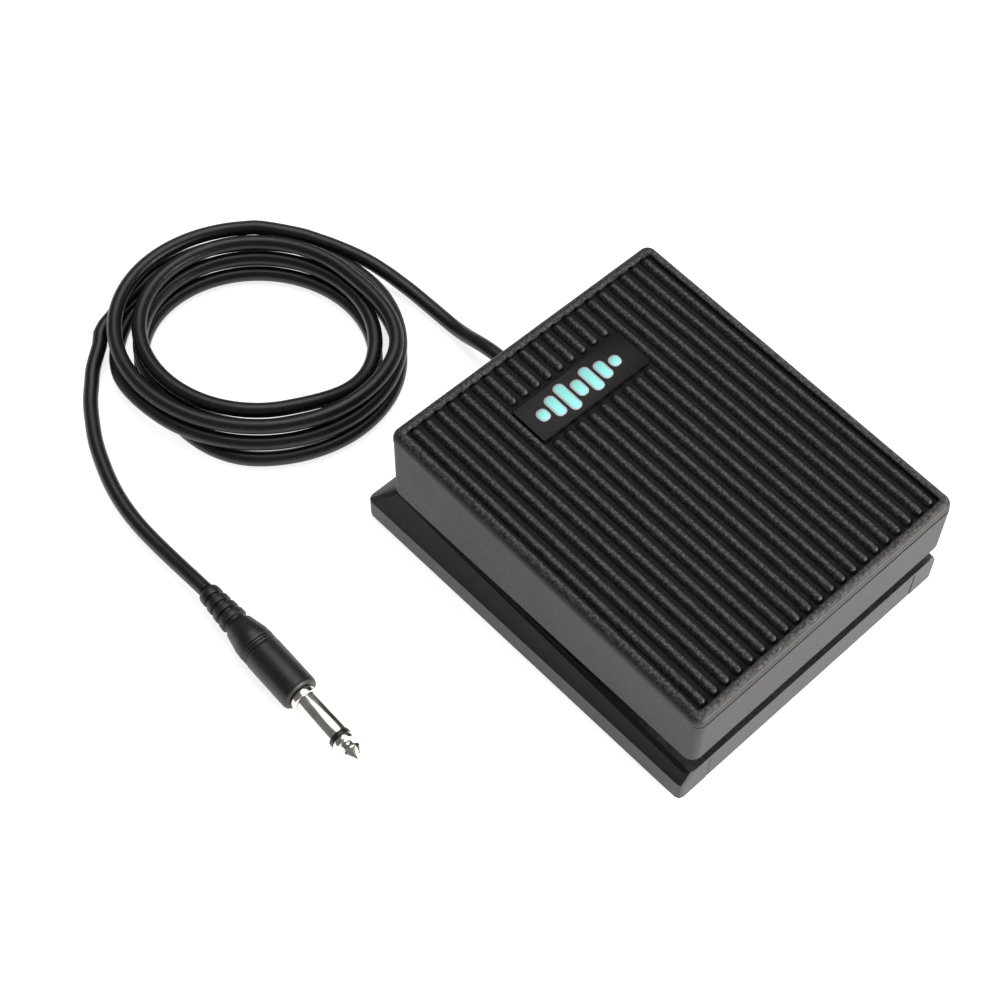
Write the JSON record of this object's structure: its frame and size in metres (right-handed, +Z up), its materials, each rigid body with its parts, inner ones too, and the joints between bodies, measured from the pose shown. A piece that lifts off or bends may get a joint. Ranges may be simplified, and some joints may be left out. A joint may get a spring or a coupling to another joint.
{
  "type": "sustain pedal",
  "caption": "Wedge-shaped momentary foot pedal with a ribbed hinged treadle over a weighted base, a coiled cord and a 6.35 mm phone plug.",
  "frame": {"origin": "middle of the base's footprint on the floor, under the feet", "axes": "+X across the width, +Y towards the hinge and the cord's exit, +Z up; the foot presses on the -Y end"},
  "size_m": [0.1575, 0.2281, 0.0463],
  "materials": {
    "base_plastic": "moulded, fine matte grain",
    "cover_plastic": "moulded, fine matte grain",
    "tread_rubber": "coarse sparkling grain",
    "label_gloss": "glossy",
    "foot_rubber": "matte",
    "plate_steel": "zinc plated sheet",
    "bright_steel": "bright zinc plate",
    "spring_steel": "drawn wire",
    "switch_plastic": "satin moulded",
    "plunger_plastic": "satin moulded",
    "terminal_brass": "stamped",
    "cord_pvc": "satin",
    "clamp_nylon": "matte",
    "boot_pvc": "satin moulded",
    "lead_red": "satin",
    "lead_white": "satin",
    "plug_nickel": "bright nickel plate",
    "insulator_black": "satin"
  },
  "bodies": {
    "base": {"base_screw_front_left": "bright_steel", "base_screw_front_right": "bright_steel", "base_screw_rear_left": "bright_steel", "base_screw_rear_right": "bright_steel", "base_shell": "base_plastic", "bottom_plate": "plate_steel", "clamp_screw_left": "bright_steel", "clamp_screw_right": "bright_steel", "cord_clamp": "clamp_nylon", "cord_coil": "cord_pvc", "cord_gland": "boot_pvc", "cord_inner": "cord_pvc", "cord_lead_in": "cord_pvc", "cord_lead_out": "cord_pvc", "foot_front_left": "foot_rubber", "foot_front_right": "foot_rubber", "foot_rear_left": "foot_rubber", "foot_rear_right": "foot_rubber", "front_strip": "base_plastic", "hinge_pin": "bright_steel", "lead_ground": "lead_white", "lead_signal": "lead_red", "pin_clip_left": "bright_steel", "pin_clip_right": "bright_steel", "plug_boot": "boot_pvc", "plug_collar": "plug_nickel", "plug_insulator": "insulator_black", "plug_sleeve": "plug_nickel", "plug_tip": "plug_nickel", "return_spring": "spring_steel", "stop_bumper_left": "foot_rubber", "stop_bumper_right": "foot_rubber", "switch_case": "switch_plastic", "switch_screw_front": "bright_steel", "switch_screw_rear": "bright_steel", "terminal_common": "terminal_brass", "terminal_normally_closed": "terminal_brass", "terminal_normally_open": "terminal_brass"},
    "treadle": {"treadle_cover": "cover_plastic", "tread_cap": "tread_rubber", "label_plate": "label_gloss"},
    "switch_lever": {"switch_lever": "bright_steel"},
    "switch_plunger": {"switch_plunger": "plunger_plastic"}
  },
  "joints": [
    {"name": "treadle_hinge", "type": "hinge", "parent": "base", "child": "treadle", "pos_m": [0, 0.044, 0.025], "axis": [1, 0, 0], "range_deg": [0, 3], "stiffness_Nm_per_rad": 6, "springref_deg": -4.58, "deforming": ["return_spring"]},
    {"name": "lever_pivot", "type": "hinge", "parent": "base", "child": "switch_lever", "pos_m": [0, 0.0185, 0.03385], "axis": [1, 0, 0], "range_deg": [0, 8.2]},
    {"name": "plunger_travel", "type": "slide", "parent": "base", "child": "switch_plunger", "axis": [0, 0, 1], "range_m": [-0.0009, 0]}
  ],
  "couplings": [
    {"joint": "lever_pivot", "follows": "treadle_hinge", "ratio": 2.645},
    {"joint": "plunger_travel", "follows": "treadle_hinge", "m_per_rad": -0.01587}
  ]
}
